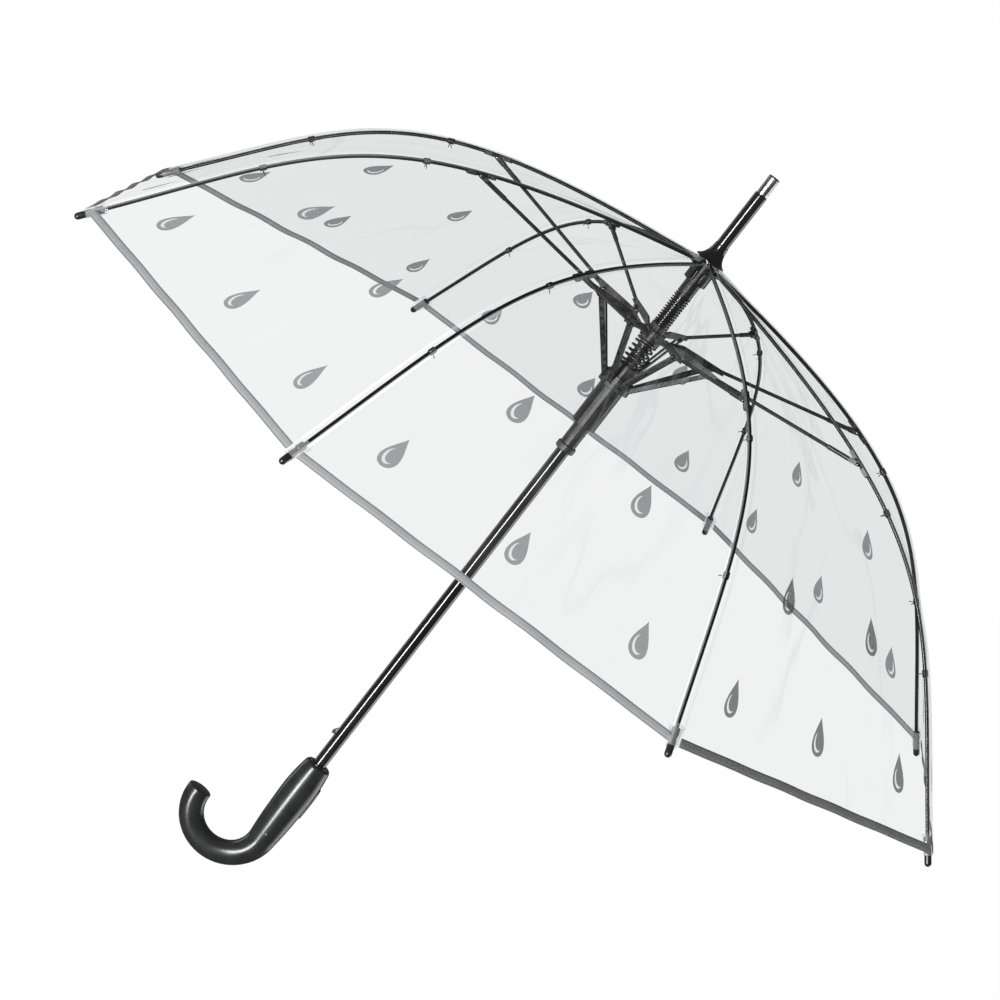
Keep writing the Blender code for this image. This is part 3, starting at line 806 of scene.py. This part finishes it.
for rib in ribNumbers:
    body = f"rib_arm_{rib}"
    bar = addPiece(f"rib_bar_{rib}", ribBar(rib), finish["glass fibre"], body)
    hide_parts(f"rib_{rib}")
    cap = addPiece(f"tip_cap_{rib}", tipCap(rib), finish["black moulding"], body)
    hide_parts(f"rib_tip_{rib}")
    addPiece(f"rib_ties_{rib}", ribTies(rib), finish["black moulding"], body)
    addPiece(f"tip_pocket_{rib}", tipPocket(rib), pocketFinish, body)
print("ribs built")


# hinge pins with domed heads, and the wires that thread the crown, ring and runner

pinPlaces = {
    "bracket": ((0.2316, 0.5987), 0.0011, 0.0036, "stretcher_arm_"),
    "link": ((0.0660, 0.5700), 0.0010, 0.0028, "link_arm_"),
}
wirePlaces = {
    "crown_wire": (0.0095, 0.6330, "shaft_assembly"),
    "ring_wire": (0.0095, 0.5644, "ring_slider"),
    "runner_wire": (0.0155, 0.5115, "runner_slider"),
}


def hingePin(name, rib, place, radius, half):
    angle = ribAngle(rib)
    head = [
        (0, half + 0.0009), (0.0009, half + 0.0008), (radius + 0.0006, half + 0.0003),
        (radius + 0.0007, half), (radius, half)
    ]
    outline = head + [(r, -z) for r, z in reversed(head)]
    return onAxis(turnedMesh(name, outline, 24, 40), around(angle, *place), around(angle, 0, 0, 1))


def wireRing(name, reach, height, wire=0.00055):
    rings = []
    for i in range(96):
        a = 2 * pi * i / 96
        rings.append(
            [
                around(a, reach + wire * cos(b), height + wire * sin(b))
                for b in (2 * pi * j / 8 for j in range(8))
            ]
        )
    return ringMesh(name, rings, looped=True)


for label, (place, radius, half, bodies) in pinPlaces.items():
    for rib in ribNumbers:
        name = f"{label}_pin_{rib}"
        addPiece(
            name, hingePin(name, rib, place, radius, half), finish["pin steel"], f"{bodies}{rib}",
        )
for label, (reach, height, body) in wirePlaces.items():
    addPiece(label, wireRing(label, reach, height), finish["spring wire"], body)


# the two springs

springs = {
    "opening": {"radius": 0.0100, "wire": 0.0011, "low": 0.46835, "high": 0.56045, "turns": 18},
    "buffer": {"radius": 0.0077, "wire": 0.0007, "low": 0.57835, "high": 0.61365, "turns": 13},
}


def coilMesh(name, look, steps=36, sides=10):
    wire, turns = look["wire"], look["turns"]
    low, high, rest = look["low"] + wire, look["high"] - wire, 2.05 * wire
    rings = []
    for i in range(turns * steps + 1):
        turn = i / steps
        share = min(max((turn - 1) / (turns - 2), 0), 1)
        height = low + rest * min(turn, 1) + (high - low - 2 * rest) * share
        height += rest * min(max(turn - turns + 1, 0), 1)
        a = 2 * pi * turn
        rings.append(
            [
                around(a, look["radius"] + wire * cos(b), height + wire * sin(b))
                for b in (2 * pi * j / sides for j in range(sides))
            ]
        )
    return ringMesh(name, rings, 60)


opening = addPiece(
    "opening_coil", coilMesh("openingCoil", springs["opening"]), finish["spring wire"], "runner_slider",
)
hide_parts("opening_spring")
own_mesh(opening)
buffer = addPiece(
    "buffer_coil", coilMesh("bufferCoil", springs["buffer"]), finish["spring wire"], "shaft_assembly",
)
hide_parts("buffer_spring")
print("pins, wires and springs built")


# shaft, ferrule and its cap

shaftShape = {
    "radius": 0.0065, "bore": 0.0057, "low": -0.0460, "high": 0.6460, "catchAt": 0.0812,
    "catchSize": (0.0024, 0.0075)
}
def shaftOutline(bands=24):
    radius, bore, low, high = (shaftShape[part] for part in ("radius", "bore", "low", "high"))
    outline = [(bore, low), (radius, low)]
    outline += [(radius, low + (high - low) * i / bands) for i in range(1, bands + 1)]
    return outline + [(bore, high)]


shaftSkin = turnedMesh("shaftSkin", shaftOutline(), 72, 40, looped=True)
shaft = addPiece("shaft_skin", shaftSkin, finish["lacquered tube"], "shaft_assembly")
wide, tall = shaftShape["catchSize"]
window = bmesh.new()
windowPlace = Matrix.Translation((-0.006, 0, shaftShape["catchAt"]))
windowSize = Matrix.Diagonal((0.008, wide + 0.0006, tall + 0.0006, 1))
bmesh.ops.create_cube(window, size=1, matrix=windowPlace @ windowSize)
cutAway(shaft, finishMesh("window", window))
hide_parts("shaft_tube")

ferruleShape = {
    "low": 0.6526, "flare": 0.0150, "neck": 0.0064, "flareTop": 0.6710, "top": 0.7300, "capTop": 0.7500,
    "capRadius": 0.0056
}
def ferruleOutline():
    low, flare, neck, flareTop, top = (
        ferruleShape[part] for part in ("low", "flare", "neck", "flareTop", "top")
    )
    outline = [
        (0, 0.6340), (0.0053, 0.6340), (0.0053, 0.6464), (neck, 0.6464), (neck, low),
        (flare - 0.0003, low), (flare, low + 0.0003), (flare, low + 0.0008),
    ]
    outline += [(p.x, p.y) for p in interpolate_bezier(
        Vector((flare, low + 0.0008, 0)), Vector((0.0100, 0.6560, 0)),
        Vector((0.0072, 0.6620, 0)), Vector((0.0070, flareTop, 0)), 22)][1:]
    outline += [(neck, flareTop + 0.0008)]
    outline += [(neck, z) for z in (0.690, 0.710, 0.7285)]
    outline += [(neck - 0.0002, 0.7296), (neck - 0.0006, top), (0.0040, top), (0.0040, 0.7380), (0, 0.7380)]
    return outline


ferrule = addPiece(
    "ferrule_skin", turnedMesh("ferruleSkin", ferruleOutline(), 72, 30), finish["lacquered tube"],
    "shaft_assembly"
)
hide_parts("ferrule")


def capOutline(curl=0.0012):
    radius, top = ferruleShape["capRadius"], ferruleShape["capTop"]
    outline = [
        (0.0043, 0.7303), (radius - 0.0002, 0.7303), (radius, 0.7306), (radius, 0.7340),
        (radius - 0.0002, 0.7342), (radius - 0.0002, 0.7348), (radius, 0.7350),
    ]
    arc = [pi / 2 * i / 8 for i in range(9)]
    outline += [(radius - curl + curl * cos(a), top - curl + curl * sin(a)) for a in arc]
    outline += [(0.0025, top), (0.0020, top - 0.0006), (0, top - 0.0006), (0, 0.739), (0.0043, 0.739)]
    return outline


ferruleCap = addPiece(
    "cap_skin", turnedMesh("capSkin", capOutline(), 64, 30), finish["satin metal"], "shaft_assembly",
)
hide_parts("ferrule_cap")


# the handle: a swelling grip that runs into the crook

handleShape = {
    "top": 0.0440, "hookCentre": -0.0485, "hookRadius": 0.0380, "hookEnd": 0.0030, "tube": 0.0121,
    # distance below the top, half thickness
    "grip": (
        (0, 0.0108), (0.0004, 0.0119), (0.0012, 0.0128), (0.0024, 0.0134), (0.0045, 0.0139),
        (0.0075, 0.01435), (0.0120, 0.0150), (0.0180, 0.0157), (0.0250, 0.0163), (0.0320, 0.0166),
        (0.0400, 0.0166), (0.0480, 0.0164), (0.0560, 0.0161), (0.0660, 0.0157), (0.0760, 0.0152),
        (0.0850, 0.0145), (0.0925, 0.0138),
    ),
    "button": (0.0070, 0.0350, 0.0120),
    "pinHeight": -0.0385,
    "pinHole": 0.0018,
}


def handleSkin():
    top, centreZ, bend = handleShape["top"], handleShape["hookCentre"], handleShape["hookRadius"]
    tube, gripEnd = handleShape["tube"], handleShape["grip"][-1][1]
    stations = [(0, top - below, 0, radius) for below, radius in handleShape["grip"]]
    steps = 56
    for i in range(1, steps + 1):
        a = pi * i / steps
        ease = max(0, 1 - a / radians(60)) ** 1.5
        thick = tube + (gripEnd - tube) * ease
        stations.append((-bend * (1 - cos(a)), centreZ - bend * sin(a), a, thick))
    x, z, a, radius = stations[-1]
    end = z + handleShape["hookEnd"]
    stations += [
        (x, end - 0.0012, a, radius), (x, end - 0.0004, a, radius - 0.0003), (x, end, a, radius - 0.0012)
    ]
    rings = []
    for x, z, a, radius in stations:
        out = Vector((cos(a), 0, -sin(a)))
        rings.append(
            [
                Vector((x, 0, z)) + radius * (cos(b) * out + sin(b) * Vector((0, 1, 0)))
                for b in (2 * pi * j / 64 for j in range(64))
            ]
        )
    return ringMesh("handleSkin", rings, 40)


def stadiumCutter(name, length, width, near, far, height):
    shape = bmesh.new()
    reach, radius = (length - width) / 2, width / 2
    ends = [
        (radius * cos(a), (reach if sin(a) >= 0 else -reach) + radius * sin(a))
        for a in (2 * pi * (i + 0.5) / 48 for i in range(48))
    ]
    low = [shape.verts.new((near, y, height + z)) for y, z in ends]
    high = [shape.verts.new((far, y, height + z)) for y, z in ends]
    shape.faces.new(low)
    shape.faces.new(high)
    for i in range(48):
        j = (i + 1) % 48
        shape.faces.new((low[i], low[j], high[j], high[i]))
    return finishMesh(name, shape)


handle = addPiece("handle_skin", handleSkin(), finish["handle skin"], "shaft_assembly")
buttonHeight, buttonLength, buttonWidth = handleShape["button"]
cutAway(handle, turnedMesh("bore", [(0, -0.05), (0.0068, -0.05), (0.0068, 0.06), (0, 0.06)], 64))
cutAway(
    handle, stadiumCutter("recess", buttonLength + 0.0007, buttonWidth + 0.0007, 0.0125, 0.03, buttonHeight)
)
holeRadius, pinHeight = handleShape["pinHole"], handleShape["pinHeight"]
pinHole = ringMesh("pinHole", [
    [(holeRadius * cos(a), y, pinHeight + holeRadius * sin(a)) for a in (2 * pi * i / 24 for i in range(24))]
    for y in (-0.03, 0.03)
])
cutAway(handle, pinHole)
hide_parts("handle")
collarOutline = [
    (0.0069, 0.0436), (0.0092, 0.0436), (0.0094, 0.0440), (0.0092, 0.0446), (0.0074, 0.0448), (0.0069, 0.0444),
]
collarMesh = turnedMesh("handleCollar", collarOutline, 64, 50, looped=True)
addPiece("handle_collar", collarMesh, finish["black moulding"], "shaft_assembly")
print("shaft, ferrule and handle built")


# CAD nodes that keep their own shape

keptNodes = {
    "crown": "black moulding", "spring_ring": "dark moulding", "runner": "dark moulding",
    "push_button": "button skin", "runner_catch": "spring wire", "handle_pin": "pin steel",
}
keptNodes.update({f"rib_bracket_{rib}": "pressed channel" for rib in ribNumbers})
keptNodes.update({f"stretcher_{rib}": "pressed channel" for rib in ribNumbers})
keptNodes.update({f"link_{rib}": "pressed channel" for rib in ribNumbers})
for name, look in keptNodes.items():
    slots = nodes[name].material_slots
    for place in slots:
        place.material = finish[look]


# pale floor, soft lights and the camera

# the paper gets its paleness from a glow, so it throws little light up
stage = {
    "floorHeight": -1.60,
    "floorReach": 16.0,
    "paper": (0.06, 0.06, 0.06),
    "palerPaper": (0.09, 0.09, 0.09),
    "skyForCamera": 1.0,
    "skyForLight": 0.14,
    "glowForCamera": 0.98,
    "glowForLight": 0.03,
}
floorShape = bmesh.new()
bmesh.ops.create_circle(floorShape, cap_ends=True, segments=96, radius=stage["floorReach"])
floorMesh = bpy.data.meshes.new("floor")
floorShape.to_mesh(floorMesh)
floorShape.free()
floor = bpy.data.objects.new("floor", floorMesh)
floor.location = (0, 0, stage["floorHeight"])
bpy.context.scene.collection.objects.link(floor)
paper = bpy.data.materials.new("paper floor")
paper.use_nodes = True
tree = paper.node_tree
fibre = put(
    tree, "ShaderNodeTexNoise", {"Vector": put(tree, "ShaderNodeTexCoord").outputs["Object"], "Scale": 40.0}
).outputs["Fac"]
tree.nodes["Principled BSDF"].inputs["Roughness"].default_value = 0.9
tree.nodes["Principled BSDF"].inputs["Emission Color"].default_value = (1, 1, 1, 1)
rays = put(tree, "ShaderNodeLightPath").outputs["Is Camera Ray"]
tree.links.new(
    blendColour(tree, fibre, stage["paper"], stage["palerPaper"]),
    tree.nodes["Principled BSDF"].inputs["Base Color"]
)
tree.links.new(
    spread(tree, rays, 0, 1, stage["glowForLight"], stage["glowForCamera"]),
    tree.nodes["Principled BSDF"].inputs["Emission Strength"]
)
floorMesh.materials.append(paper)

world = bpy.data.worlds.new("studio")
world.use_nodes = True
bpy.context.scene.world = world
tree = world.node_tree
rays = put(tree, "ShaderNodeLightPath").outputs["Is Camera Ray"]
tree.nodes["Background"].inputs["Color"].default_value = (1, 1, 1, 1)
tree.links.new(
    spread(tree, rays, 0, 1, stage["skyForLight"], stage["skyForCamera"]),
    tree.nodes["Background"].inputs["Strength"]
)

lights = {
    # name: (place, aimed at, width, height, watts)
    "tall strip": ((-1.25, -2.75, -0.25), (0, 0, -0.05), 0.44, 2.5, 270),
    "right wing": ((3.00, 1.00, -0.30), (0, 0, 0.10), 2.4, 2.4, 70),
    "left wing": ((-2.60, 1.70, 0.20), (0, 0, 0.20), 0.7, 2.4, 16),
    "top bank": ((-0.5, -1.3, 3.1), (0, 0, 0.4), 1.6, 1.0, 14),
}
for name, (place, aim, wide, tall, watts) in lights.items():
    lamp = bpy.data.lights.new(name, "AREA")
    lamp.shape, lamp.size, lamp.size_y, lamp.energy = "RECTANGLE", wide, tall, watts
    holder = bpy.data.objects.new(name, lamp)
    holder.location = place
    holder.rotation_euler = (Vector(aim) - Vector(place)).to_track_quat("-Z", "Y").to_euler()
    holder.visible_glossy = name != "top bank"  # the near gores would mirror it as one flat patch
    bpy.context.scene.collection.objects.link(holder)

camera = bpy.data.objects.new("camera", bpy.data.cameras.new("camera"))
camera.data.lens, camera.data.sensor_width = 128.78, 36
camera.location = (-0.15479, -3.28056, 1.01506)
camera.rotation_euler = (radians(75.738), radians(-36.908), radians(6.296))
camera.data.clip_start, camera.data.clip_end = 0.1, 60
bpy.context.scene.collection.objects.link(camera)
bpy.context.scene.camera = camera
bpy.context.scene.view_settings.view_transform = "Standard"
print("stage and camera set")
